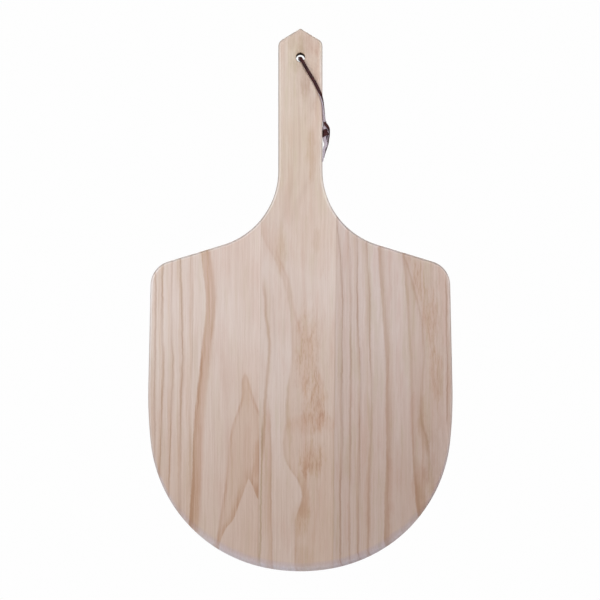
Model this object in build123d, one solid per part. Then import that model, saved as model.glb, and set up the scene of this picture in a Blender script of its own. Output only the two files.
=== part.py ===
from build123d import *
import math
import os

# Pizza peel, hung up by the lace hole at the end of its handle.
# Millimetres. The origin is the centre of the lace hole, halfway through the wood.
# +Z is up, +X is to the right seen from the front, and the front face looks along -Y.

# Wood stock
thickness = 12.0
edge_round = 3.5

# Handle
handle_width = 44.2
tip_height = 29.6
gable_slope = 31.3
gable_corner_radius = 8.0
tip_radius = 1.0
hole_diameter = 9.0
hole_rim_round = 0.6

# Neck and shoulders
neck_start_drop = 113.0
neck_radius = 77.5
neck_turn = 73.0
shoulder_radius = 25.0

# Blade: a three-radius arch, from the middle of the front edge round to each side
front_edge_drop = 514.8
front_radius = 178.0
front_sweep = 11.2
cheek_radius = 144.3
cheek_sweep = 72.5
side_radius = 431.0
side_sweep = 7.6

# Long soft bevel on the front edge, so that the blade slides under a pizza
bevel_width = 9.5
bevel_profile_radius = 14.0
bevel_circle_radius = 156.0
bevel_sweep = 150.0

# The centre board is also the handle; the two side boards are glued to its long edges
centre_board_width = 75.0
board_lean = 0.55
glue_thickness = 0.2

# Leather lace
lace_diameter = 3.0
tail_diameter = 2.2
knot_radius = 3.8
knot_height = 16.5
knot_end_round = 3.2
knot_centre = (26.4, 0.0, -74.4)

# The two strands leave the middle of the hole, turn down along the front and the back of
# the handle, drop over its right-hand edge and run into the knot.
front_strand_route = [
    (0.3, 0.0, -1.9),
    (0.3, -8.0, -1.9),
    (7.0, -8.0, -14.3),
    (13.2, -8.1, -25.0),
    (19.2, -8.0, -36.0),
    (22.8, -7.0, -44.5),
    (24.5, -4.6, -54.0),
    (25.1, -2.6, -63.0),
    (25.9, -1.7, -70.0),
]
back_strand_route = [
    (0.3, 0.0, -1.9),
    (0.3, 8.0, -1.9),
    (6.6, 8.0, -14.5),
    (12.6, 8.1, -25.6),
    (18.6, 8.0, -36.4),
    (22.8, 7.1, -45.0),
    (24.9, 4.6, -54.0),
    (25.6, 2.5, -62.5),
    (26.3, 1.6, -70.0),
]
front_tail_route = [
    (27.2, -1.3, -79.5),
    (28.4, -1.6, -86.5),
    (27.0, -1.9, -94.0),
    (24.8, -1.7, -104.0),
]
back_tail_route = [
    (25.4, 1.3, -79.5),
    (24.4, 1.5, -87.0),
    (24.9, 1.6, -95.0),
    (24.0, 1.4, -103.5),
]

big = 1200.0
clear_of_wood = 40.0


def half_outline():
    """Right half of the outline, from the middle of the front edge up to the tip."""
    half_width = handle_width / 2
    front = JernArc((0, -front_edge_drop), (1, 0), front_radius, front_sweep)
    cheek = JernArc(front @ 1, front % 1, cheek_radius, cheek_sweep)
    side = JernArc(cheek @ 1, cheek % 1, side_radius, side_sweep)

    neck_end = Vector(
        half_width + neck_radius * (1 - math.cos(math.radians(neck_turn))),
        -neck_start_drop - neck_radius * math.sin(math.radians(neck_turn)),
    )
    shoulder_direction = Vector(math.sin(math.radians(neck_turn)), -math.cos(math.radians(neck_turn)))
    corner = lines_meeting_point(side @ 1, side % 1, neck_end, shoulder_direction)
    up_the_side = Line(side @ 1, corner)
    shoulder = Line(corner, neck_end)
    neck = JernArc(neck_end, shoulder_direction * -1, neck_radius, -neck_turn)

    gable_drop = half_width * math.tan(math.radians(gable_slope))
    handle_side = Line(neck @ 1, (half_width, tip_height - gable_drop))
    gable = Line(handle_side @ 1, (0, tip_height))
    return [front, cheek, side, up_the_side, shoulder, neck, handle_side, gable]


def lines_meeting_point(point_a, direction_a, point_b, direction_b):
    """Where two straight lines in the outline's plane meet."""
    gap = point_b - point_a
    cross = direction_a.X * direction_b.Y - direction_a.Y * direction_b.X
    along_a = (gap.X * direction_b.Y - gap.Y * direction_b.X) / cross
    return point_a + direction_a * along_a


def outline_face():
    """The whole outline as a face, with its corners rounded."""
    right_half = half_outline()
    left_half = [mirror(edge, Plane.YZ) for edge in right_half]
    face = make_face(Curve() + right_half + left_half)
    shoulder_corners = face.vertices().filter_by(is_shoulder_corner)
    face = fillet(shoulder_corners, shoulder_radius)
    gable_corners = face.vertices().filter_by(is_gable_corner)
    face = fillet(gable_corners, gable_corner_radius)
    tip = face.vertices().sort_by(Axis.Y)[-1]
    return fillet(tip, tip_radius)


def is_shoulder_corner(vertex):
    return abs(vertex.X) > 2 * handle_width and vertex.Y > -front_edge_drop / 2


def is_gable_corner(vertex):
    return vertex.Y > 0 and abs(abs(vertex.X) - handle_width / 2) < 0.01


def front_bevel_cutter():
    """What the soft bevel takes off the front edge: a revolved profile that starts flush
    with the front face and curves towards the back."""
    circle_centre_z = -front_edge_drop + bevel_width + bevel_circle_radius
    arc_turn = math.degrees(math.asin(bevel_width / bevel_profile_radius))
    curve = JernArc((bevel_circle_radius, thickness / 2), (1, 0), bevel_profile_radius, -arc_turn)
    run_out = Line(curve @ 1, curve @ 1 + (curve % 1) * clear_of_wood)
    over = Polyline(
        run_out @ 1,
        (bevel_circle_radius + clear_of_wood, thickness),
        (bevel_circle_radius, thickness),
        (bevel_circle_radius, thickness / 2),
    )
    profile = make_face(Curve() + [curve, run_out, over])
    section_plane = Plane(origin=(0, 0, circle_centre_z), x_dir=(0, 0, -1), z_dir=(-1, 0, 0))
    section = section_plane * profile
    axis = Axis((0, 0, circle_centre_z), (0, 1, 0))
    turned = section.rotate(axis, -bevel_sweep / 2)
    return revolve(turned, axis, bevel_sweep)


def peel_blank():
    """The glued-up peel as one piece of wood, before it is told apart into its boards."""
    blank = extrude(Plane.XZ * outline_face(), amount=thickness / 2, both=True)
    rims = blank.faces().filter_by(Axis.Y).edges()
    blank = fillet(rims, edge_round)
    blank -= front_bevel_cutter()
    hole = Rot(90, 0, 0) * Cylinder(hole_diameter / 2, 2 * thickness)
    blank -= hole
    hole_rims = blank.edges().filter_by(GeomType.CIRCLE).filter_by(is_hole_rim)
    return fillet(hole_rims, hole_rim_round)


def is_hole_rim(edge):
    return abs(edge.radius - hole_diameter / 2) < 0.01


def leaning_slab(low_x, high_x):
    """A slab as tall and deep as anything here, leaning with the boards' edges."""
    slab = Box(high_x - low_x, clear_of_wood, big)
    return Rot(0, board_lean, 0) * Pos((low_x + high_x) / 2, 0, 0) * slab


def wooden_parts():
    """The three boards and the two films of glue between them."""
    blank = peel_blank()
    half = centre_board_width / 2
    film = glue_thickness
    return {
        "left_board": blank & leaning_slab(-big, -half - film),
        "left_glue_line": blank & leaning_slab(-half - film, -half),
        "centre_board": blank & leaning_slab(-half, half),
        "right_glue_line": blank & leaning_slab(half, half + film),
        "right_board": blank & leaning_slab(half + film, big),
    }


def bend_radii(route):
    """Each bend is as large as its two runs allow."""
    points = [Vector(point) for point in route]
    radii = []
    for before, corner, after in zip(points, points[1:], points[2:]):
        run_in = corner - before
        run_out = after - corner
        turn = math.radians(run_in.get_angle(run_out))
        shorter = min(run_in.length, run_out.length)
        radii.append(0.45 * shorter / math.tan(turn / 2))
    return radii


def lace_tube(name, route, diameter):
    """A plain round tube along a route, with its bend radii and volume printed."""
    radii = bend_radii(route)
    path = FilletPolyline(*route, radius=radii)
    section = Plane(origin=path @ 0, z_dir=path % 0) * Circle(diameter / 2)
    tube = sweep(section, path=path)
    expected = math.pi * diameter**2 / 4 * path.length
    print(f"{name}: length {path.length:.1f}, volume {tube.volume:.1f} for {expected:.1f}")
    print(f"  bend radii {[round(radius, 1) for radius in radii]}")
    return tube


def knot():
    """The outer shape of the overhand knot that ties both strands together."""
    body = Cylinder(knot_radius, knot_height)
    body = fillet(body.edges().filter_by(GeomType.CIRCLE), knot_end_round)
    return Pos(*knot_centre) * body


def lace_parts():
    """One leather lace, told apart into its stretches."""
    return {
        "lace_front_strand": lace_tube("front strand", front_strand_route, lace_diameter),
        "lace_back_strand": lace_tube("back strand", back_strand_route, lace_diameter),
        "lace_knot": knot(),
        "lace_front_tail": lace_tube("front tail", front_tail_route, tail_diameter),
        "lace_back_tail": lace_tube("back tail", back_tail_route, tail_diameter),
    }


def main():
    os.makedirs("parts", exist_ok=True)
    for name, shape in {**wooden_parts(), **lace_parts()}.items():
        export_step(shape, f"parts/{name}.step")


main()
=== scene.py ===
import math

import bpy
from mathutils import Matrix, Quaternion, Vector


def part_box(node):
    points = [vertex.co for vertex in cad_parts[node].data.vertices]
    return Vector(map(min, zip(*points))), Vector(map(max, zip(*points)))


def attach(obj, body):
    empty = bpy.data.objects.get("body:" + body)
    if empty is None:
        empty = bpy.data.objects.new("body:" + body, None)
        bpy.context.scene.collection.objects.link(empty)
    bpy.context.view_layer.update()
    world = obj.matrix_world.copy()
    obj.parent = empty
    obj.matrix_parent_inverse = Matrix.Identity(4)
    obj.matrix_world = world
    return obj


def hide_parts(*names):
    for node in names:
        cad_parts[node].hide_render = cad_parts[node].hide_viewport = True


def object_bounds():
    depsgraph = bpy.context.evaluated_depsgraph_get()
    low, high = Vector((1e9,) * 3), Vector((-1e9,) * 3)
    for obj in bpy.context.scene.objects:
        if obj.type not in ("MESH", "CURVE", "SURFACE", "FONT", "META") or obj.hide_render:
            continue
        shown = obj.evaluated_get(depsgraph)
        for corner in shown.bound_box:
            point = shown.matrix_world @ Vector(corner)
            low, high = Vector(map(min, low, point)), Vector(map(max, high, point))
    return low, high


# Looks of a pizza peel hanging upright: three glued softwood boards and a knotted leather lace.
# Everything is in metres in the model's own frame, apart from the grain, which is drawn in
# millimetres. The front face looks along -Y, and the origin is in the lace hole.

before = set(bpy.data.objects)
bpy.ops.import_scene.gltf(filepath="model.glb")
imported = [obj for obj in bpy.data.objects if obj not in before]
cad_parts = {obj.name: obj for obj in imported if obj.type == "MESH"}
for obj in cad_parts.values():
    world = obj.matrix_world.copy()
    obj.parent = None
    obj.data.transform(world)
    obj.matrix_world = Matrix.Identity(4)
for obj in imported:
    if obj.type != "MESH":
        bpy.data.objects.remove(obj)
cad_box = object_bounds()
mm = 0.001

# Camera and stage
camera_distance = 1.27
camera_sideways = -0.4 * mm
peel_share_of_view = 0.907
sensor_width = 36.0
floor_drop = 0.45
floor_radius = 1.3
floor_thickness = 0.02
floor_glow = 0.6
background_white = 0.99
surround_light = 0.263

# Lace
lace_width = 3.4 * mm
lace_thickness = 2.1 * mm
section_points = 20
section_roundness = 0.55
lace_step = 0.6 * mm
tail_width = 3.6 * mm
tail_thickness = 1.7 * mm

# Each strand twists where it comes over the handle's edge, from this height, over this length
twist = math.radians(42)
twist_top = -32.0 * mm
twist_length = 9.0 * mm

# The handle without its roundings: how far its side is in from the knot's left side, and half
# of its depth
handle_side_inset = 4.0 * mm
handle_half_depth = 2.5 * mm

# Knot: two strands down its core, a doubled band wrapped round them, and one thong over all.
# Its core starts, and its wraps are centred, a little to the left of knot_sideways.
knot_sideways = 26.0 * mm
knot_top = -63.5 * mm
knot_bottom = -78.0 * mm
knot_turns = 1.75
knot_start_angle = math.radians(30)
knot_core_radius = 0.9 * mm
knot_wrap_radius = 2.9 * mm
knot_wrap_sway = 0.35 * mm
knot_band_width = 3.2 * mm
knot_band_thickness = 1.7 * mm
knot_over_thickness = 1.8 * mm
knot_top_aside = 1.7 * mm
knot_wrap_aside = 0.5 * mm
knot_slant = 0.8 * mm
knot_slant_angle = math.radians(-10)
knot_wrap_top = -69.9 * mm
knot_wrap_bottom = -76.6 * mm
knot_opening = 0.17
knot_closing = 0.14
knot_flesh_share = 0.24
knot_flesh_turn = 0.10
knot_wrap_steps = 150
knot_core_steps = 39
knot_core_turn = 1.6

# The thong that goes over the knot and down its right-hand side, and the way that its grain
# side looks at each of its points
over_route = [
    (0.0236, -0.0020, -0.0625),
    (0.0241, -0.0040, -0.0650),
    (0.0263, -0.0048, -0.0681),
    (0.0284, -0.0028, -0.0712),
    (0.0287, -0.0010, -0.0765),
    (0.0278, 0.0004, -0.0815),
    (0.0260, 0.0010, -0.0885),
]
over_outwards = [
    (-0.5, -1.0, 0.3),
    (-0.1, -1.0, 0.3),
    (0.4, -0.9, 0.4),
    (1.0, -0.35, 0.1),
    (1.0, -0.30, 0.0),
    (1.0, -0.35, 0.0),
    (1.0, -0.50, 0.0),
]

# The same routes as the model's, in metres, with some points moved
front_strand_route = [
    (-0.0003, 0.0, -0.0014),
    (-0.0016, -0.0086, 0.0022),
    (0.0074, -0.0080, -0.0138),
    (0.0142, -0.0081, -0.0248),
    (0.0197, -0.0080, -0.0358),
    (0.0224, -0.0071, -0.0445),
    (0.0232, -0.0046, -0.0540),
    (0.0235, -0.0026, -0.0630),
    (0.0253, -0.0015, -0.0700),
]
back_strand_route = [
    (-0.0003, 0.0, -0.0014),
    (0.0009, 0.0088, 0.0008),
    (0.0066, 0.0080, -0.0141),
    (0.0134, 0.0081, -0.0254),
    (0.0190, 0.0080, -0.0362),
    (0.0226, 0.0071, -0.0450),
    (0.0234, 0.0046, -0.0540),
    (0.0237, 0.0024, -0.0625),
    (0.0253, 0.0015, -0.0700),
]
front_tail_route = [
    (0.0243, -0.0013, -0.0765),
    (0.0238, -0.0026, -0.0815),
    (0.0263, -0.0036, -0.0868),
    (0.0235, -0.0044, -0.0912),
    (0.0234, -0.0048, -0.0970),
    (0.0223, -0.0050, -0.1042),
]
back_tail_route = [
    (0.0270, 0.0018, -0.0745),
    (0.0276, 0.0014, -0.0825),
    (0.0262, 0.0006, -0.0890),
    (0.0248, -0.0006, -0.0950),
    (0.0236, -0.0012, -0.1000),
]

# The way that each tail's grain side looks, at its top and at its cut end
front_tail_outwards = [(0.35, 1.0, 0.0), (-0.2, 1.0, 0.0)]
back_tail_outwards = [(0.5, -0.9, 0.0), (1.0, 0.0, 0.0)]


# ---------------------------------------------------------------- shader nodes


def srgb(red, green, blue):
    """A colour given as 0 to 255 sRGB, as the linear values that shaders take."""

    def linear(value):
        share = value / 255
        return share / 12.92 if share <= 0.04045 else ((share + 0.055) / 1.055) ** 2.4

    return (linear(red), linear(green), linear(blue), 1.0)


class Graph:
    """One material, and short ways to add nodes to it."""

    def __init__(self, name):
        self.material = bpy.data.materials.new(name)
        self.material.use_nodes = True
        self.tree = self.material.node_tree
        self.shader = self.tree.nodes["Principled BSDF"]
        coordinates = self.tree.nodes.new("ShaderNodeTexCoord")
        self.place = self.vector("MULTIPLY", coordinates.outputs["Object"], (1000, 1000, 1000))
        self.normal = coordinates.outputs["Normal"]

    def feed(self, socket, value):
        if isinstance(value, bpy.types.NodeSocket):
            self.tree.links.new(value, socket)
        else:
            socket.default_value = value

    def math(self, operation, first, second=0.0, third=0.0):
        node = self.tree.nodes.new("ShaderNodeMath")
        node.operation = operation
        for socket, value in zip(node.inputs, (first, second, third)):
            self.feed(socket, value)
        return node.outputs[0]

    def vector(self, operation, first, second):
        node = self.tree.nodes.new("ShaderNodeVectorMath")
        node.operation = operation
        self.feed(node.inputs[0], first)
        self.feed(node.inputs[1], second)
        return node.outputs[0]

    def axes(self, vector):
        node = self.tree.nodes.new("ShaderNodeSeparateXYZ")
        self.feed(node.inputs[0], vector)
        return node.outputs[0], node.outputs[1], node.outputs[2]

    def join(self, x, y, z):
        node = self.tree.nodes.new("ShaderNodeCombineXYZ")
        for socket, value in zip(node.inputs, (x, y, z)):
            self.feed(socket, value)
        return node.outputs[0]

    def step(self, value, low, high, out_low=0.0, out_high=1.0):
        """Goes smoothly from out_low at low to out_high at high."""
        node = self.tree.nodes.new("ShaderNodeMapRange")
        node.interpolation_type = "SMOOTHSTEP"
        for socket, setting in zip(node.inputs, (value, low, high, out_low, out_high)):
            self.feed(socket, setting)
        return node.outputs[0]

    def noise(self, vector, scale, detail=2.0, roughness=0.5):
        """Noise between 0 and 1, about 0.5 on average."""
        node = self.tree.nodes.new("ShaderNodeTexNoise")
        self.feed(node.inputs["Vector"], vector)
        node.inputs["Scale"].default_value = scale
        node.inputs["Detail"].default_value = detail
        node.inputs["Roughness"].default_value = roughness
        return node.outputs["Fac"]

    def attribute(self, name):
        """A number kept on the mesh's points."""
        node = self.tree.nodes.new("ShaderNodeAttribute")
        node.attribute_name = name
        return node.outputs["Fac"]

    def curve(self, value, points):
        """A smooth curve through given points, each 0 to 1 both ways."""
        node = self.tree.nodes.new("ShaderNodeFloatCurve")
        curve = node.mapping.curves[0]
        node.mapping.extend = "HORIZONTAL"
        ordered = sorted(points)
        for point, (along, across) in zip(curve.points, (ordered[0], ordered[-1])):
            point.location = (along, across)
        for along, across in ordered[1:-1]:
            curve.points.new(along, across)
        node.mapping.update()
        self.feed(node.inputs["Value"], value)
        return node.outputs[0]

    def tint(self, colour, tint, amount):
        """Multiplies a colour by a tint, by an amount from 0 to 1."""
        node = self.tree.nodes.new("ShaderNodeMix")
        node.data_type = "RGBA"
        node.blend_type = "MULTIPLY"
        self.feed(node.inputs["Factor"], amount)
        self.feed(node.inputs["A"], colour)
        self.feed(node.inputs["B"], tint)
        return node.outputs["Result"]

    def mix(self, first, second, amount):
        node = self.tree.nodes.new("ShaderNodeMix")
        node.data_type = "RGBA"
        self.feed(node.inputs["Factor"], amount)
        self.feed(node.inputs["A"], first)
        self.feed(node.inputs["B"], second)
        return node.outputs["Result"]

    def bump(self, height, distance, strength=1.0):
        node = self.tree.nodes.new("ShaderNodeBump")
        node.inputs["Strength"].default_value = strength
        node.inputs["Distance"].default_value = distance
        self.feed(node.inputs["Height"], height)
        self.tree.links.new(node.outputs["Normal"], self.shader.inputs["Normal"])


# ---------------------------------------------------------------- wood

# Grain lines are (height, sideways) points in millimetres on the front face.
grain_top = 30.0
grain_length = 550.0
grain_half_width = 160.0
front_face = 6.0
hole_radius = 4.5
ring_core_width = 1.9

# The two glued joints: where each crosses the height of the hole, and their lean
left_joint = -37.5
right_joint = 37.5
joint_slope = math.tan(math.radians(0.55))

# What plain wood is multiplied by where a feature is at full strength
late_tint = (0.69, 0.57, 0.50, 1.0)
tan_tint = (0.85, 0.73, 0.58, 1.0)
rose_tint = (0.92, 0.79, 0.75, 1.0)
olive_tint = (0.90, 0.92, 0.80, 1.0)
# A pale, cool painted highlight on the rounded edges
edge_highlight_tint = (1.34, 1.48, 1.60, 1.0)
# Painted shade, grey and a little cool, on the outermost line of the edges
edge_shade_tint = (0.80, 0.83, 0.86, 1.0)
# Painted cool light from below on the bevel at the foot of the blade
bevel_cool_light_tint = (0.94, 0.97, 1.09, 1.0)
# Painted shade on the drilled wall of the lace hole
hole_wall_shade_tint = (0.24, 0.18, 0.14, 1.0)


class Wood(Graph):
    """Softwood whose growth rings are drawn line by line on the front face and run on
    through the thickness at a lean."""

    def __init__(self, name, ring_lean, height_lean, seed):
        super().__init__(name)
        self.plain_x, self.y, self.plain_z = self.axes(self.place)
        self.normal_x, self.normal_y, self.normal_z = self.axes(self.normal)
        # How far the surface looks along the fibres, and how far to the front or the back
        self.endwise = self.math("ABSOLUTE", self.normal_z)
        self.facing = self.math("ABSOLUTE", self.normal_y)
        self.seed = seed
        # Where each point of the board is on the drawing of the grain on the front face
        depth = self.math("ADD", self.y, front_face)
        shifted = self.math("SUBTRACT", self.plain_x, self.math("MULTIPLY", depth, ring_lean))
        self.x = self.math("ADD", shifted, self.wander())
        self.z = self.math("ADD", self.plain_z, self.math("MULTIPLY", depth, height_lean))
        self.down = self.math("DIVIDE", self.math("SUBTRACT", grain_top, self.z), grain_length)
        self.amounts = {"late": 0.0, "tan": 0.0, "rose": 0.0, "olive": 0.0}
        self.make_masks()

    def wander(self):
        """How far the grain wanders sideways, in millimetres: slowly, and with a fine shiver."""
        slow_place = self.join(self.seed, self.y, self.math("MULTIPLY", self.plain_z, 0.9))
        slow = self.noise(slow_place, 0.028, 2.0)
        across = self.math("MULTIPLY", self.plain_x, 0.3)
        quick_place = self.join(across, self.seed, self.math("MULTIPLY", self.plain_z, 0.8))
        quick = self.noise(quick_place, 0.2, 3.0, 0.6)
        wobble = self.math("MULTIPLY", self.math("SUBTRACT", slow, 0.5), 1.6)
        shiver = self.math("MULTIPLY", self.math("SUBTRACT", quick, 0.5), 1.5)
        return self.math("ADD", wobble, shiver)

    def make_masks(self):
        """The uneven amounts, 0 to about 1, that the features of the board are broken up by."""
        half_x = self.math("MULTIPLY", self.x, 0.5)
        fade = self.join(half_x, self.seed, self.math("MULTIPLY", self.plain_z, 0.12))
        self.patchy = self.step(self.noise(fade, 0.12, 3.0, 0.6), 0.22, 0.62, 0.45, 1.0)
        flecks = self.noise(self.drawn_out(self.y, 0.10), 1.1, 3.0, 0.6)
        self.flecks = self.step(flecks, 0.46, 0.68)
        self.cloud = self.noise(self.drawn_out(self.seed, 0.3), 0.16, 4.0, 0.65)
        self.streaks = self.noise(self.drawn_out(self.seed_depth(), 0.02), 0.55, 4.0, 0.7)
        self.streaky = self.step(self.streaks, 0.34, 0.66, 0.35, 1.15)
        self.calm = self.step(self.endwise, 0.4, 0.85, 1.0, 0.35)

    def drawn_out(self, depth, along, across=1.0):
        """A place to take noise at, so that the noise is drawn out along the grain."""
        x = self.math("MULTIPLY", self.x, across)
        return self.join(x, depth, self.math("MULTIPLY", self.z, along))

    def seed_depth(self):
        """Depth into the board, moved by the board's own seed."""
        return self.math("MULTIPLY_ADD", self.y, 0.6, self.seed * 10)

    def line(self, points):
        """Distance to the right of a grain line, in millimetres."""
        scaled = [
            ((grain_top - height) / grain_length, 0.5 + sideways / (2 * grain_half_width))
            for height, sideways in points
        ]
        across = self.curve(self.down, scaled)
        sideways = self.math("MULTIPLY_ADD", across, 2 * grain_half_width, -grain_half_width)
        return self.math("SUBTRACT", self.x, sideways)

    def left_of(self, points):
        """Distance to the left of a grain line, in millimetres."""
        return self.math("MULTIPLY", self.line(points), -1.0)

    def above(self, height, fade):
        """1 above a height and 0 below it, with a soft change over the fade."""
        return self.step(self.z, height - fade / 2, height + fade / 2)

    def below(self, height, fade):
        """1 below a height and 0 above it, with a soft change over the fade."""
        return self.step(self.z, height + fade / 2, height - fade / 2)

    def between(self, points, fade=12.0):
        """1 between the highest and the lowest point of a line, and 0 past its ends."""
        top = max(height for height, sideways in points)
        bottom = min(height for height, sideways in points)
        return self.both(self.below(top, fade), self.above(bottom, fade))

    def both(self, first, second):
        """Strong only where both amounts are."""
        return self.math("MULTIPLY", first, second)

    def ring(self, distance, fade, sharp=0.8):
        """Dark at a sharp edge where distance is 0, and fading out as distance grows."""
        edge = self.step(distance, -sharp, sharp * 0.6)
        tail = self.step(distance, fade, 0.0)
        return self.both(edge, tail)

    def thin(self, distance, width):
        """A soft line that is the same on both sides."""
        return self.step(self.math("ABSOLUTE", distance), width * 0.62, 0.0)

    def spot(self, height, sideways, tall, wide):
        """1 in the middle of a soft ragged oval, and 0 outside it."""
        up = self.math("DIVIDE", self.math("SUBTRACT", self.z, height), tall)
        along = self.math("DIVIDE", self.math("SUBTRACT", self.x, sideways), wide)
        squares = self.math("MULTIPLY_ADD", up, up, self.math("MULTIPLY", along, along))
        ragged = self.math("MULTIPLY_ADD", self.math("SUBTRACT", self.cloud, 0.5), 3.2, squares)
        return self.step(ragged, 1.3, -0.2)

    def add(self, amount, **strengths):
        """Adds to the tints of the board, late, tan, rose or olive, by an amount from 0 to 1."""
        for kind, strength in strengths.items():
            if strength:
                total = self.math("MULTIPLY_ADD", amount, strength, self.amounts[kind])
                self.amounts[kind] = total

    def clear(self, amount):
        """Takes away the tints added so far, by an amount from 0 to 1."""
        rest = self.math("SUBTRACT", 1.0, amount)
        for kind in self.amounts:
            self.amounts[kind] = self.math("MULTIPLY", self.amounts[kind], rest)

    def rings(self, lines):
        """Nearly straight rings: each is (width, late, tan, points). A warm band lies beside
        the dark line of each."""
        for width, late, tan, points in lines:
            distance = self.line(points)
            body = self.both(self.thin(distance, width), self.streaky)
            self.add(self.both(body, self.patchy), late=late * 0.72, tan=tan * 0.6)
            core_line = self.thin(distance, ring_core_width)
            self.add(self.both(core_line, self.patchy), late=late * 0.55)
            beside = self.math("ADD", distance, width * 0.55)
            self.add(self.both(self.thin(beside, width * 1.2), self.streaky), tan=tan)

    def stroke(self, width, points, fade=12.0, **strengths):
        """A soft line that fades at both of its ends."""
        body = self.thin(self.line(points), width)
        self.add(self.both(body, self.between(points, fade)), **strengths)

    def patch(self, height, sideways, tall, wide, **strengths):
        """A soft ragged oval."""
        self.add(self.spot(height, sideways, tall, wide), **strengths)

    def flecked(self, height, sideways, tall, wide, late, tan):
        """A soft warm oval with short dark upright flecks in it."""
        oval = self.spot(height, sideways, tall, wide)
        self.add(oval, tan=tan * 0.8, rose=tan * 0.6)
        self.add(self.both(oval, self.flecks), late=late, tan=tan * 0.3, rose=tan * 0.4)

    def shade_joint(self, sideways, strength, top=0.0):
        """A faint dark line, from a height down, where the wood meets the next board."""
        joint = self.math("MULTIPLY_ADD", self.plain_z, joint_slope, sideways)
        distance = self.math("SUBTRACT", self.plain_x, joint)
        near = self.step(self.math("ABSOLUTE", distance), 1.5, 0.1)
        self.add(self.both(self.both(near, self.patchy), self.below(top, 120)), late=strength)

    def shade_round_hole(self):
        """Paints shade on the rim of the lace hole. Returns 1 on the hole's drilled wall, where
        finish paints shade.
        """
        squares = self.math("MULTIPLY", self.plain_z, self.plain_z)
        squares = self.math("MULTIPLY_ADD", self.plain_x, self.plain_x, squares)
        distance = self.math("SQRT", squares)
        # Painted shade round the rim of the lace hole
        self.add(self.step(distance, hole_radius + 1.6, hole_radius + 0.1), late=0.3, tan=0.2)
        return self.step(distance, hole_radius + 0.45, hole_radius + 0.1)

    def add_casts(self, variety):
        """Slow changes of colour, short dashes along the grain, and a darker, warmer foot."""
        broad = self.noise(self.drawn_out(self.seed, 0.3), 0.03, 2.0)
        cast = self.noise(self.drawn_out(self.seed + 20.0, 0.3, 2.2), 0.06, 3.0, 0.6)
        dashes = self.step(self.noise(self.drawn_out(self.y, 0.11), 1.5, 2.0, 0.5), 0.60, 0.74)
        crowded = self.step(self.cloud, 0.42, 0.62, 0.25, 1.0)
        blush = self.noise(self.drawn_out(self.seed + 40.0, 1.0, 1.4), 0.016, 3.0)
        self.add(self.step(cast, 0.52, 0.66), rose=0.36 * variety)
        self.add(self.step(cast, 0.48, 0.34), olive=0.42 * variety)
        self.add(self.both(self.both(dashes, crowded), self.calm), late=0.26 * variety)
        self.add(self.step(broad, 0.35, 0.70), late=0.05, tan=0.10)
        self.add(self.step(blush, 0.42, 0.66), rose=0.16)
        self.add(self.below(-370, 260), tan=0.23, late=0.20)

    def add_pores(self):
        """Fine dark pores, fewer where the surface looks along the fibres."""
        pores = self.noise(self.drawn_out(self.y, 0.12), 2.2, 2.0, 0.5)
        pores = self.step(pores, 0.64, 0.80)
        self.add(self.both(pores, self.calm), late=0.26)
        return pores

    def tinted(self, plain):
        """The plain colour with all the board's tints, a painted highlight and painted shade on its
        edges, and painted cool light on the bevel.
        """
        colour = plain
        tints = {"late": late_tint, "tan": tan_tint, "rose": rose_tint, "olive": olive_tint}
        for kind, tint in tints.items():
            colour = self.tint(colour, tint, self.math("MINIMUM", self.amounts[kind], 1.0))
        colour = self.tint(colour, edge_highlight_tint, self.painted_edge_highlight())
        colour = self.tint(colour, edge_shade_tint, self.painted_edge_shade())
        return self.tint(colour, bevel_cool_light_tint, self.bevel())

    def finish(self, plain, variety=1.0, wall=None):
        """Colour, roughness and bump of the whole board."""
        fibre = self.noise(self.drawn_out(self.y, 0.022), 0.9, 4.0, 0.62)
        self.add(self.step(fibre, 0.34, 0.66), late=0.17)
        self.add(self.step(self.streaks, 0.42, 0.64), late=0.07, tan=0.14)
        self.add_casts(variety)
        pores = self.add_pores()
        self.add(self.end_grain(), late=0.20, tan=0.20)
        colour = self.tinted(plain)
        rough = self.math("MULTIPLY_ADD", fibre, 0.16, 0.40)
        # Painted shade on the lace hole's drilled wall
        if wall:
            colour = self.tint(colour, hole_wall_shade_tint, wall)
            rough = self.math("MAXIMUM", rough, wall)
        self.tree.links.new(colour, self.shader.inputs["Base Color"])
        self.tree.links.new(rough, self.shader.inputs["Roughness"])
        self.shader.inputs["Specular IOR Level"].default_value = 0.5
        relief = self.math("MULTIPLY_ADD", self.amounts["late"], 0.35, fibre)
        relief = self.math("MULTIPLY_ADD", pores, -0.5, relief)
        across_fibres = self.step(self.endwise, 0.4, 0.85, 1.0, 0.12)
        self.bump(self.both(relief, across_fibres), 0.06 * mm, 0.6)
        return self.material

    def painted_edge_highlight(self):
        """1 on the rounding of the edges, where a pale painted highlight is laid on, less where the
        edge looks up, low on the blade and along the handle."""
        turned = self.both(self.step(self.facing, 0.995, 0.88), self.step(self.facing, 0.35, 0.72))
        sideways = self.step(self.normal_z, 0.5, 0.15, 0.25, 1.0)
        blade_and_neck = self.step(self.plain_z, -300, -190, 0.42, 1.0)
        handle = self.step(self.plain_z, -130, -90, 1.0, 0.66)
        return self.both(self.both(turned, sideways), self.both(blade_and_neck, handle))

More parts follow.
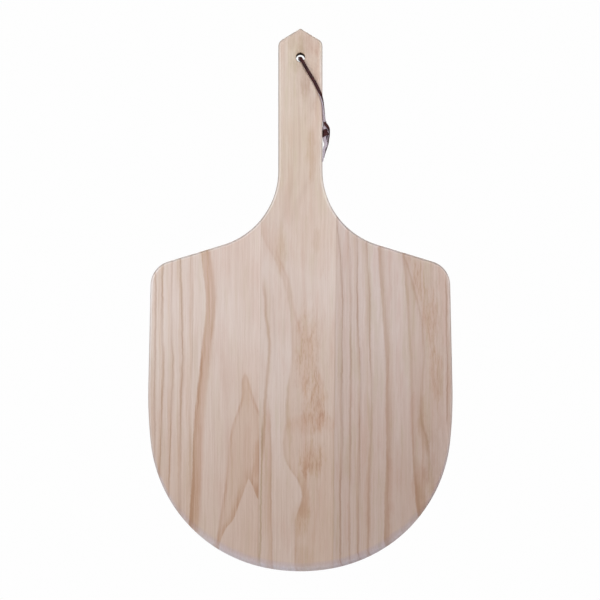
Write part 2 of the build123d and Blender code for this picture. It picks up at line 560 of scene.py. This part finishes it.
    def painted_edge_shade(self):
        """1 on the outermost line of the edges, where grey shade is painted: at the sides of the
        handle and the neck, on the edges that look up, and along the foot of the bevel."""
        sides = self.both(self.step(self.facing, 0.70, 0.40), self.above(-240, 120))
        sides = self.both(sides, self.step(self.normal_x, -0.3, 0.3, 1.0, 0.35))
        looks_up = self.step(self.normal_z, 0.15, 0.5)
        upper = self.both(self.step(self.facing, 0.95, 0.75), looks_up)
        upper = self.both(upper, self.step(self.plain_z, 5, 20, 1.0, 0.5))
        foot = self.both(self.step(self.normal_z, -0.20, -0.60), self.looks_forward())
        from_middle = self.math("ABSOLUTE", self.plain_x)
        foot = self.both(foot, self.step(from_middle, 60, 130, 0.62, 0.40))
        rim = self.both(self.math("MAXIMUM", sides, upper), self.step(self.facing, 0.05, 0.35))
        return self.math("MAXIMUM", rim, foot)

    def bevel(self):
        """1 on the bevel along the foot of the blade, which gets a cool, bluish painted light from
        below.
        """
        looks_down = self.step(self.normal_z, -0.01, -0.20)
        return self.both(self.looks_forward(), self.both(looks_down, self.below(-380, 60)))

    def looks_forward(self):
        """1 where the surface looks to the front."""
        return self.step(self.normal_y, -0.3, -0.6)

    def end_grain(self):
        """1 where the surface looks along the fibres, as on the top of the handle."""
        return self.step(self.endwise, 0.72, 0.97)


def left_board_wood():
    """Straight rings at the left, a broad ring, and two nested arches against the joint."""
    wood = Wood("left_board_wood", ring_lean=-0.35, height_lean=1.6, seed=3.1)
    wood.rings([
        (3.8, 0.46, 0.30, [(-205, -145), (-278, -145), (-328, -146), (-400, -146), (-440, -147)]),
        (4.2, 0.56, 0.36, [(-205, -137), (-278, -138.4), (-303, -137), (-353, -138.4),
                           (-410, -141)]),
        (3.6, 0.46, 0.26, [(-205, -128), (-278, -129), (-303, -127.6), (-353, -129), (-428, -132)]),
        (4.2, 0.58, 0.26, [(-195, -120.4), (-240, -119), (-303, -118), (-353, -119.6),
                           (-450, -120.4)]),
        (4.6, 0.24, 0.26, [(-195, -109.6), (-278, -108), (-320, -108.6), (-352, -109.6)]),
    ])
    broad = wood.line([
        (-190, -100.5), (-223, -96), (-252, -94.6), (-290, -98.4), (-328, -102.4),
        (-378, -107), (-428, -108.6), (-470, -112),
    ])
    filled = wood.both(wood.step(broad, -1.0, 0.8), wood.step(broad, 12.0, 7.5))
    wood.add(filled, late=0.10, tan=0.22, rose=0.35)
    wood.add(wood.both(wood.ring(broad, 14.0, 1.2), wood.streaky), late=0.12, tan=0.30)
    high_core = wood.both(wood.thin(wood.math("SUBTRACT", broad, 7.5), 4.5), wood.above(-300, 60))
    wood.add(wood.both(high_core, wood.streaky), late=0.26, tan=0.20)
    narrow = wood.both(wood.thin(wood.math("SUBTRACT", broad, 1.6), 4.2), wood.below(-290, 40))
    wood.add(wood.both(narrow, wood.streaky), late=0.36, tan=0.20)

    outer_left = wood.line([
        (-315, -55.4), (-325, -58.4), (-337, -58), (-353, -62.4), (-366, -67.4), (-383, -71),
        (-420, -74), (-460, -80.4), (-500, -86),
    ])
    outer_right = wood.left_of([
        (-315, -55.0), (-323, -51.6), (-335, -48), (-347, -44), (-356, -40), (-372, -32),
    ])
    inside = wood.math("MINIMUM", outer_left, outer_right)
    under_tip = wood.below(-316, 8)
    wood.add(wood.both(wood.ring(inside, 70.0, 0.9), under_tip), late=0.05, tan=0.22)
    edge = wood.both(wood.thin(wood.math("SUBTRACT", inside, 1.2), 4.6), under_tip)
    wood.add(wood.both(edge, wood.streaky), late=0.14, rose=0.35)
    wood.patch(-337, -54, 26, 6, tan=0.22)

    inner_left = wood.line([
        (-421, -52.4), (-430, -55.4), (-440, -59), (-452, -63.4), (-463, -68), (-470, -74),
        (-478, -78), (-487, -81),
    ])
    inner_right = wood.left_of([(-421, -51.8), (-428, -48), (-438, -44), (-445, -40), (-460, -30)])
    inside = wood.math("MINIMUM", inner_left, inner_right)
    wood.clear(wood.both(wood.step(inside, -0.6, 1.4), wood.below(-419, 8)))
    outside = wood.math("MULTIPLY", inside, -1.0)
    rim = wood.both(wood.ring(outside, 8.5, 0.9), wood.below(-414, 16))
    wood.add(wood.both(rim, wood.streaky), late=0.27, tan=0.28, rose=0.28)
    wood.patch(-407, -43, 30, 5, late=0.12, tan=0.25, rose=0.3)
    wood.shade_joint(left_joint, 0.30, -380)
    wood.add(wood.step(wood.x, -108, -75), late=0.10)
    wood.add(wood.below(-350, 120), late=0.07)
    # Everything but the upper outer corner is darkened, which leaves painted light on that corner,
    # as if lit from the left
    lit_top_left = wood.both(wood.above(-300, 90), wood.step(wood.x, -112, -140))
    wood.add(wood.math("SUBTRACT", 1.0, lit_top_left), late=0.15)
    return wood.finish(srgb(232, 217, 210), variety=0.5)


def right_board_wood():
    """Rings close together by the joint, wider ones at the right, and a flecked corner."""
    wood = Wood("right_board_wood", ring_lean=0.8, height_lean=-1.2, seed=7.7)
    wood.rings([
        (4.4, 0.56, 0.22, [(-165, 36), (-190, 39), (-215, 41), (-253, 42), (-300, 41.4),
                           (-390, 41.6), (-440, 39.8), (-505, 40)]),
        (3.2, 0.42, 0.18, [(-165, 47.6), (-203, 49.6), (-303, 50.4), (-403, 49.6), (-510, 48.9)]),
        (4.4, 0.56, 0.24, [(-165, 55.6), (-203, 57.4), (-240, 56.8), (-328, 60.2), (-378, 59),
                           (-428, 58.4), (-505, 57.6)]),
        (5.4, 0.42, 0.34, [(-170, 64.6), (-240, 69), (-290, 69.2), (-340, 71.4), (-415, 69.2),
                           (-500, 67.4)]),
    ])
    edge_line = [(-225, 145.6), (-260, 146.2), (-350, 146.8), (-365, 146.4)]
    wood.stroke(2.1, edge_line, late=0.62)
    broad = wood.line([
        (-170, 76.6), (-208, 78.6), (-240, 80.9), (-290, 84.6), (-340, 85.6), (-390, 85.8),
        (-440, 84.4), (-500, 83.6),
    ])
    wood.add(wood.ring(broad, 10.0, 1.0), late=0.30, tan=0.42)
    wood.add(wood.thin(wood.math("SUBTRACT", broad, 2.2), 4.5), late=0.16)

    wide = wood.line([
        (-185, 100), (-228, 105), (-258, 107), (-303, 109.6), (-353, 111), (-398, 112),
        (-448, 116), (-480, 119),
    ])
    wood.add(wood.ring(wide, 13.0, 1.2), late=0.14, tan=0.16)
    wood.add(wood.thin(wood.math("SUBTRACT", wide, 1.2), 4.0), late=0.18, tan=0.12)
    low_part = wood.both(wood.ring(wide, 18.0, 1.0), wood.below(-412, 36))
    wood.add(low_part, late=0.06, tan=0.22, rose=0.2)

    curved = wood.left_of([
        (-190, 100), (-210, 108), (-225, 112.6), (-243, 117), (-260, 121), (-288, 124),
        (-328, 122), (-353, 121), (-368, 122.4), (-380, 126), (-396, 128.4), (-430, 127),
    ])
    wood.add(wood.both(wood.ring(curved, 9.0, 1.0), wood.above(-424, 18)), late=0.16, tan=0.12)
    wood.add(wood.both(wood.thin(curved, 4.2), wood.above(-424, 18)), late=0.20, tan=0.14)
    wood.patch(-372, 123, 34, 6, late=0.12, tan=0.30)

    right_of_curve = wood.step(curved, 0.0, -4.0)
    corner = wood.both(right_of_curve, wood.above(-345, 90))
    wood.add(corner, late=0.03, tan=0.18)
    wood.add(wood.both(corner, wood.streaky), late=0.05, tan=0.08)
    wood.add(wood.both(corner, wood.flecks), late=0.12, tan=0.10)
    wood.patch(-430, 123, 30, 12, late=0.10, tan=0.20, rose=0.10)
    wood.patch(-402, 136, 42, 14, late=0.28)
    wood.flecked(-222, 118, 22, 7, 0.17, 0.34)
    wood.flecked(-262, 130, 34, 10, 0.14, 0.42)
    wood.flecked(-318, 136, 26, 8, 0.12, 0.30)
    wood.shade_joint(right_joint, 0.22, -220)
    wood.add(wood.both(wood.below(-320, 140), wood.step(wood.x, 50, 110)), late=0.09)
    return wood.finish(srgb(209, 191, 184))


def centre_board_wood():
    """The middle of the blade, the neck and the whole handle."""
    wood = Wood("centre_board_wood", ring_lean=0.3, height_lean=0.8, seed=12.4)
    wood.add(wood.above(-196, 44), tan=0.10)
    draw_blade_middle(wood)
    draw_handle(wood)
    wood.shade_joint(left_joint, 0.35, -360)
    wood.shade_joint(right_joint, 0.42, -220)
    wood.add(wood.above(-150, 60), olive=0.28, late=0.03)
    return wood.finish(srgb(220, 203, 195), variety=0.8, wall=wood.shade_round_hole())


def draw_blade_middle(wood):
    """A paler band with a wavy edge down the left, thin lines in it, and flecked warm patches
    to the right of it."""
    edge = wood.line([
        (-160, -46), (-185, -35.4), (-198, -28), (-215, -20.4), (-235, -14.4), (-258, -10.4),
        (-283, -9.4), (-310, -10.4), (-328, -13), (-343, -14.4), (-365, -15.4), (-388, -17.4),
        (-401, -16.4), (-413, -10.4), (-424, -3), (-436, 0.6), (-450, -1.4), (-460, -5.4),
        (-478, -6.4), (-510, -6),
    ])
    wood.add(wood.both(wood.step(edge, -1.2, 2.4), wood.below(-262, 50)), late=0.05, tan=0.20)
    wood.add(wood.both(wood.ring(edge, 12.0, 1.6), wood.streaky), late=0.08, tan=0.14, rose=0.15)
    crisp = wood.both(wood.thin(wood.math("SUBTRACT", edge, 1.4), 3.4), wood.streaky)
    wood.add(wood.both(crisp, wood.step(wood.z, -225, -265, 0.45, 1.0)), late=0.17)
    pale = wood.both(wood.ring(wood.math("MULTIPLY", edge, -1.0), 16.0, 1.0), wood.below(-235, 60))
    wood.clear(wood.math("MULTIPLY", pale, 0.5))

    second = [
        (-190, -25), (-200, -22), (-210, -17.4), (-223, -12.4), (-240, -9.4), (-255, -6), (-275, 1),
    ]
    wood.stroke(4.2, second, 20.0, late=0.10, rose=0.25)
    third = [
        (-225, -36.4), (-240, -35.4), (-258, -34.4), (-273, -32), (-293, -31), (-315, -33),
        (-340, -35), (-365, -36), (-395, -37.6),
    ]
    wood.stroke(4.4, third, 24.0, late=0.36, tan=0.36)
    fourth = [(-235, -28), (-250, -27.4), (-270, -26), (-290, -26), (-318, -27)]
    wood.stroke(3.4, fourth, 20.0, late=0.18)
    rim = wood.left_of([(-330, -32), (-380, -29.8), (-440, -29.4), (-510, -28)])
    low_rim = wood.both(wood.ring(rim, 12.0, 1.0), wood.below(-352, 40))
    wood.add(low_rim, late=0.08, tan=0.28, rose=0.30)
    wood.add(wood.both(wood.thin(rim, 3.0), wood.below(-352, 40)), late=0.20)

    olive_line = [(-368, -38), (-400, -38.8), (-440, -39.6), (-480, -40.2), (-508, -41)]
    wood.stroke(2.6, olive_line, 24.0, late=0.42, olive=0.9)
    wood.flecked(-296, 7, 50, 13, 0.22, 0.46)
    wood.flecked(-348, 15, 30, 13, 0.22, 0.46)
    wood.flecked(-402, 12, 20, 15, 0.20, 0.38)
    wood.add(wood.both(wood.spot(-367, 8, 11, 30), wood.step(edge, 0.0, 2.0)), rose=0.35, tan=0.14)
    in_bay = wood.both(wood.spot(-440, 3, 36, 9), wood.step(edge, -0.8, 1.6))
    wood.add(in_bay, late=0.10, tan=0.24, rose=0.25)
    wood.patch(-462, 0, 18, 10, late=0.05, tan=0.24)
    marked = wood.both(wood.spot(-350, 10, 120, 24), wood.step(edge, 0.0, 6.0))
    wood.add(wood.both(marked, wood.flecks), late=0.18)
    wood.patch(-499, 3, 13, 12, late=0.08, tan=0.14)
    wood.flecked(-192, -20, 26, 7, 0.14, 0.32)
    wood.patch(-183, 16, 14, 6, late=0.08, tan=0.16)
    wood.patch(-185, 14, 34, 28, tan=0.16)


def draw_handle(wood):
    """Faint upright streaks and slow patches of colour along the handle and the neck."""
    for width, late, points in [
        (3.0, 0.20, [(22, -7), (0, -8), (-30, -7.4), (-70, -7), (-120, -7.6)]),
        (3.6, 0.34, [(14, 16), (-20, 15.6), (-45, 16)]),
        (5.0, 0.20, [(-24, -4), (-50, -2), (-77, -1.2), (-106, -1.8), (-122, -2.6)]),
        (6.0, 0.10, [(-75, 11.4), (-95, 12), (-120, 10.6)]),
        (11.0, 0.17, [(-118, -4.4), (-131, -9), (-141, -12), (-156, -15), (-172, -21)]),
        (10.0, 0.16, [(-122, 8), (-134, 3), (-146, -3), (-156, -6), (-168, -10)]),
    ]:
        streak = wood.both(wood.thin(wood.line(points), width), wood.between(points, 18.0))
        wood.add(wood.both(streak, wood.patchy), late=late)
    wood.patch(-97, 11, 30, 6, late=0.06, tan=0.40)
    wood.patch(-15, 14, 26, 9, tan=0.20)
    wood.patch(-38, 8, 30, 8, late=0.34)
    wood.patch(-8, 4, 34, 12, late=0.36)
    wood.patch(17, 3, 14, 18, late=0.26)
    wood.patch(-75, -8, 80, 9, olive=0.25)
    wood.patch(4, -4, 22, 10, olive=0.6)
    wood.patch(-40, 19, 46, 6, rose=0.55)
    wood.patch(10, 12, 12, 8, rose=0.35)


def glue_material(name):
    """Cured adhesive, a little darker where it is thicker."""
    glue = Graph(name)
    x, y, z = glue.axes(glue.place)
    uneven = glue.noise(glue.join(x, y, glue.math("MULTIPLY", z, 0.25)), 0.4, 3.0)
    colour = glue.mix(srgb(176, 148, 126), srgb(204, 182, 164), uneven)
    glue.tree.links.new(colour, glue.shader.inputs["Base Color"])
    glue.tree.links.new(glue.step(uneven, 0.2, 0.8, 0.35, 0.6), glue.shader.inputs["Roughness"])
    return glue.material


# ---------------------------------------------------------------- leather


def leather_material():
    """Dark red waxed leather with a fine grain on one side and pale suede on the other."""
    leather = Graph("lace_leather")
    side = leather.attribute("grain_side")
    grain = leather.noise(leather.place, 1.7, 5.0, 0.6)
    blotch = leather.noise(leather.place, 0.30, 2.0)
    fray = leather.math("MULTIPLY_ADD", leather.math("SUBTRACT", grain, 0.5), 0.9, side)
    suede = leather.step(fray, 0.42, 0.05)
    dark = leather.mix(srgb(66, 24, 24), srgb(40, 11, 14), leather.step(blotch, 0.35, 0.65))
    dark = leather.mix(dark, srgb(120, 70, 60), leather.step(grain, 0.60, 0.78, 0.0, 0.6))
    pale = leather.mix(srgb(198, 186, 196), srgb(146, 132, 142), leather.step(grain, 0.40, 0.66))
    colour = leather.mix(dark, pale, suede)
    leather.tree.links.new(colour, leather.shader.inputs["Base Color"])
    rough = leather.math("MULTIPLY_ADD", suede, 0.4, leather.step(grain, 0.3, 0.7, 0.42, 0.58))
    leather.tree.links.new(rough, leather.shader.inputs["Roughness"])
    leather.shader.inputs["Specular IOR Level"].default_value = 0.2
    leather.bump(grain, 0.12 * mm, 0.7)
    return leather.material


def spline_points(route, name):
    """The smooth line of a route, as points close together."""
    data = bpy.data.curves.new(name, "CURVE")
    data.dimensions = "3D"
    data.resolution_u = 24
    spline = data.splines.new("NURBS")
    spline.points.add(len(route) - 1)
    for point, place in zip(spline.points, route):
        point.co = (*place, 1.0)
    spline.order_u = 3
    spline.use_endpoint_u = True
    guide = bpy.data.objects.new(name, data)
    bpy.context.scene.collection.objects.link(guide)
    mesh = bpy.data.meshes.new_from_object(guide)
    points = [vertex.co.copy() for vertex in mesh.vertices]
    bpy.data.objects.remove(guide)
    bpy.data.meshes.remove(mesh)
    bpy.data.curves.remove(data)
    return even_points(points, lace_step)


def even_points(points, step):
    """The same line with its points evenly spaced."""
    lengths = [0.0]
    for before, after in zip(points, points[1:]):
        lengths.append(lengths[-1] + (after - before).length)
    count = max(2, round(lengths[-1] / step))
    spaced = []
    index = 0
    for number in range(count + 1):
        target = lengths[-1] * number / count
        while index < len(lengths) - 2 and lengths[index + 1] < target:
            index += 1
        span = lengths[index + 1] - lengths[index]
        share = (target - lengths[index]) / span if span else 0.0
        spaced.append(points[index].lerp(points[index + 1], share))
    return spaced


def away_from_handle(point):
    """The way that a thong's grain side looks where it lies against the handle or the lip
    of the hole: straight away from the nearest wood."""
    inner_half_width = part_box("lace_knot")[0].x - handle_side_inset
    nearest = Vector((
        max(-inner_half_width, min(inner_half_width, point.x)),
        max(-handle_half_depth, min(handle_half_depth, point.y)),
        min(point.z, -hole_radius * mm),
    ))
    return point - nearest


def twisted(point, turn):
    """Away from the handle, and turned further where the thong comes over the handle's edge,
    so that its flesh side shows."""
    amount = ease((twist_top - point.z) / twist_length)
    return Quaternion((0, 0, 1), turn * amount) @ away_from_handle(point)


def ease(share):
    """0 to 1, starting and ending gently."""
    share = max(0.0, min(1.0, share))
    return share * share * (3 - 2 * share)


def ways_between(ways, count):
    """As many ways as count, evenly from the first to the last of a list of ways."""
    spread = []
    for index in range(count):
        place = index / (count - 1) * (len(ways) - 1)
        before = min(int(place), len(ways) - 2)
        spread.append(Vector(ways[before]).lerp(Vector(ways[before + 1]), place - before))
    return spread


def round_way(angle):
    """Straight out from an upright axis. 0 is to the right, and -90 degrees to the front."""
    return Vector((math.cos(angle), math.sin(angle), 0.0))


def section(width, thickness):
    """A rectangle with rounded corners, as (sideways, outwards, grain side) points."""
    points = []
    for number in range(section_points):
        angle = 2 * math.pi * number / section_points
        sideways = math.copysign(abs(math.cos(angle)) ** section_roundness, math.cos(angle))
        outwards = math.copysign(abs(math.sin(angle)) ** section_roundness, math.sin(angle))
        points.append((sideways * width / 2, outwards * thickness / 2, outwards))
    return points


class Thongs:
    """A mesh of one or more leather thongs. Each has a grain side and a paler flesh side,
    told apart by a value on the mesh that the leather's material reads."""

    def __init__(self):
        self.vertices = []
        self.faces = []
        self.grain = []

    def add(self, points, outwards, width, thickness, size=None):
        """Sweeps a thong along points. outwards has the way that its grain side looks at each
        point, and size(share) scales its section along its length."""
        first = len(self.vertices)
        last = len(points) - 1
        for index, point in enumerate(points):
            along = points[min(index + 1, last)] - points[max(index - 1, 0)]
            along.normalize()
            out = outwards[index] - along * outwards[index].dot(along)
            out.normalize()
            across = along.cross(out)
            scale = size(index / last) if size else 1.0
            for sideways, through, grain in section(width * scale, thickness * scale):
                self.vertices.append(point + across * sideways + out * through)
                self.grain.append(grain)
        for ring in range(last):
            for number in range(section_points):
                following = (number + 1) % section_points
                near = first + ring * section_points
                far = near + section_points
                self.faces.append((near + number, near + following, far + following, far + number))
        end = first + last * section_points
        self.faces.append(tuple(reversed(range(first, first + section_points))))
        self.faces.append(tuple(range(end, end + section_points)))

    def build(self, name, material):
        """Makes the thongs one piece, on the body that swings."""
        mesh = bpy.data.meshes.new(name)
        mesh.from_pydata(self.vertices, [], self.faces)
        values = mesh.attributes.new("grain_side", "FLOAT", "POINT")
        values.data.foreach_set("value", self.grain)
        mesh.shade_smooth()
        mesh.materials.append(material)
        piece = bpy.data.objects.new(name, mesh)
        bpy.context.scene.collection.objects.link(piece)
        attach(piece, "hanging_loop")
        return piece


def add_strand(name, route, node, turn, material):
    """One strand of the loop, from the middle of the hole to the knot."""
    points = spline_points(route, name + "_line")
    thongs = Thongs()
    thongs.add(points, [twisted(point, turn) for point in points], lace_width, lace_thickness)
    piece = thongs.build(name, material)
    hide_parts(node)
    return piece, points


def wrap(beside):
    """One half of the doubled thong, wound round the knot on a slant: its points, and the way
    that its grain side looks. beside is -0.5 for the upper half, which starts flesh side out,
    and 0.5 for the lower one."""
    points = []
    outwards = []
    for number in range(knot_wrap_steps + 1):
        share = number / knot_wrap_steps
        angle = knot_start_angle - 2 * math.pi * knot_turns * share
        open_out = ease(share / knot_opening) * ease((1 - share) / knot_closing)
        radius = knot_core_radius + (knot_wrap_radius - knot_core_radius) * open_out
        radius += knot_wrap_sway * math.sin(9 * share + 2 * beside)
        out = round_way(angle)
        height = knot_wrap_top + (knot_wrap_bottom - knot_wrap_top) * share
        middle = Vector((knot_sideways - knot_wrap_aside, 0.0, height))
        slant = knot_slant * math.cos(angle - knot_slant_angle) * open_out
        rise = slant - beside * knot_band_width * (0.35 + 0.65 * open_out)
        points.append(middle + out * radius + Vector((0, 0, rise)))
        turned_back = ease((share - knot_flesh_share) / knot_flesh_turn)
        flesh_side_out = 1 - turned_back if beside < 0 else 0.0
        flip = Quaternion(out.cross(Vector((0, 0, 1))), math.pi * flesh_side_out)
        outwards.append(flip @ out + Vector((0, 0, 0.15 * beside)))
    return points, outwards


def core(side):
    """One of the two strands that run down inside the knot, -1 in front and 1 behind."""
    top = Vector((knot_sideways - knot_top_aside, 0.0, knot_top))
    bottom = Vector((knot_sideways - knot_wrap_aside, 0.0, knot_bottom))
    points = []
    outwards = []
    for number in range(knot_core_steps + 1):
        share = number / knot_core_steps
        out = round_way(math.pi / 2 * side + knot_core_turn * share)
        points.append(top.lerp(bottom, share) + out * knot_core_radius)
        outwards.append(out)
    return points, outwards


def over_size(share):
    """The thong over the knot comes out narrow between the strands and widens to full size."""
    return 0.45 + 0.55 * ease(share / 0.22)


def tail_size(share):
    """A tail has its full size at the knot and narrows to its cut end."""
    return 1.0 - 0.72 * ease((share - 0.3) / 0.7)


def add_knot(material):
    """An overhand knot tied in both strands at once: two turns of the doubled thong, on a
    slant, round the two strands that run down through them, and one thong over them."""
    thongs = Thongs()
    for beside in (-0.5, 0.5):
        thongs.add(*wrap(beside), knot_band_width, knot_band_thickness)
    for side in (-1, 1):
        thongs.add(*core(side), lace_width, knot_band_thickness)
    points = spline_points(over_route, "over_line")
    outwards = ways_between(over_outwards, len(points))
    thongs.add(points, outwards, knot_band_width, knot_over_thickness, over_size)
    piece = thongs.build("overhand_knot", material)
    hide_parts("lace_knot")
    return piece


def add_tail(name, route, node, outwards, material):
    """A loose end below the knot, narrowing to a slanting cut."""
    points = spline_points(route, name + "_line")
    thongs = Thongs()
    ways = ways_between(outwards, len(points))
    thongs.add(points, ways, tail_width, tail_thickness, tail_size)
    piece = thongs.build(name, material)
    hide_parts(node)
    return piece


# ---------------------------------------------------------------- stage


def add_camera():
    """Square on to the front face, level with the middle of the peel."""
    low, high = cad_box
    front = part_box("centre_board")[0].y
    view_size = (high.z - low.z) / peel_share_of_view
    data = bpy.data.cameras.new("camera")
    data.sensor_width = sensor_width
    data.lens = sensor_width * camera_distance / view_size
    camera = bpy.data.objects.new("camera", data)
    camera.location = (camera_sideways, front - camera_distance, (low.z + high.z) / 2)
    camera.rotation_euler = (math.pi / 2, 0, 0)
    bpy.context.scene.collection.objects.link(camera)
    bpy.context.scene.camera = camera


def add_area_light(name, place, target, size, watts, colour=(1, 1, 1)):
    """A soft rectangular light that the camera does not see."""
    data = bpy.data.lights.new(name, "AREA")
    data.shape = "RECTANGLE"
    data.size, data.size_y = size
    data.energy = watts
    data.color = colour
    light = bpy.data.objects.new(name, data)
    light.location = place
    light.rotation_euler = (Vector(target) - Vector(place)).to_track_quat("-Z", "Y").to_euler()
    light.visible_camera = False
    bpy.context.scene.collection.objects.link(light)


def add_surroundings():
    """A white surround that is seen as pure white and lights the peel a little less."""
    world = bpy.data.worlds.new("surround")
    world.use_nodes = True
    tree = world.node_tree
    background = tree.nodes["Background"]
    background.inputs["Color"].default_value = (1, 1, 1, 1)
    seen = tree.nodes.new("ShaderNodeLightPath")
    level = tree.nodes.new("ShaderNodeMapRange")
    level.inputs["To Min"].default_value = surround_light
    level.inputs["To Max"].default_value = background_white
    tree.links.new(seen.outputs["Is Camera Ray"], level.inputs["Value"])
    tree.links.new(level.outputs[0], background.inputs["Strength"])
    bpy.context.scene.world = world


def add_floor():
    """A plain pale disc, below what the camera sees."""
    low = cad_box[0]
    bpy.ops.mesh.primitive_cylinder_add(
        vertices=128, radius=floor_radius, depth=floor_thickness,
        location=(0, 0, low.z - floor_drop - floor_thickness / 2),
    )
    floor = bpy.context.object
    floor.name = "floor"
    material = bpy.data.materials.new("pale_floor")
    material.use_nodes = True
    shader = material.node_tree.nodes["Principled BSDF"]
    shader.inputs["Base Color"].default_value = (0.82, 0.81, 0.80, 1)
    shader.inputs["Roughness"].default_value = 0.8
    seen = material.node_tree.nodes.new("ShaderNodeLightPath")
    glow = material.node_tree.nodes.new("ShaderNodeMath")
    glow.operation = "MULTIPLY"
    glow.inputs[1].default_value = floor_glow
    material.node_tree.links.new(seen.outputs["Is Camera Ray"], glow.inputs[0])
    shader.inputs["Emission Color"].default_value = (1, 1, 1, 1)
    material.node_tree.links.new(glow.outputs[0], shader.inputs["Emission Strength"])
    floor.data.materials.append(material)


def set_look():
    """Colours as they are, with no film-like curve."""
    scene = bpy.context.scene
    scene.view_settings.view_transform = "Standard"
    scene.view_settings.look = "None"


def wear(node, material):
    """Gives a CAD node its material."""
    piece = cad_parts[node]
    piece.data.materials.clear()
    piece.data.materials.append(material)


add_camera()
add_surroundings()
add_area_light("key", (0.25, -0.85, 0.12), (0, 0, -0.12), (0.4, 0.4), 4.2, (0.95, 0.98, 1.0))
add_area_light("left_strip", (-1.15, -1.10, 0.35), (0, 0, -0.1), (0.3, 1.0), 9.8)
add_area_light("right_strip", (1.5, -0.50, 0.30), (0, 0, -0.1), (0.3, 1.0), 3.6)
add_area_light("back_fill", (0.0, 1.40, 0.80), (0, 0, -0.24), (1.2, 0.7), 19.0)
add_area_light(
    "low_strip", (-0.10, -0.15, -0.92), (0, 0, -0.5), (0.7, 0.08), 0.45, (0.62, 0.78, 1.0)
)
add_floor()
set_look()

wear("left_board", left_board_wood())
wear("right_board", right_board_wood())
wear("centre_board", centre_board_wood())
wear("left_glue_line", glue_material("left_glue"))
wear("right_glue_line", glue_material("right_glue"))

leather = leather_material()
front_strand, front_line = add_strand(
    "front_strand", front_strand_route, "lace_front_strand", twist, leather
)
back_strand, back_line = add_strand(
    "back_strand", back_strand_route, "lace_back_strand", -twist, leather
)
knot = add_knot(leather)
front_tail = add_tail(
    "front_tail", front_tail_route, "lace_front_tail", front_tail_outwards, leather
)
back_tail = add_tail("back_tail", back_tail_route, "lace_back_tail", back_tail_outwards, leather)
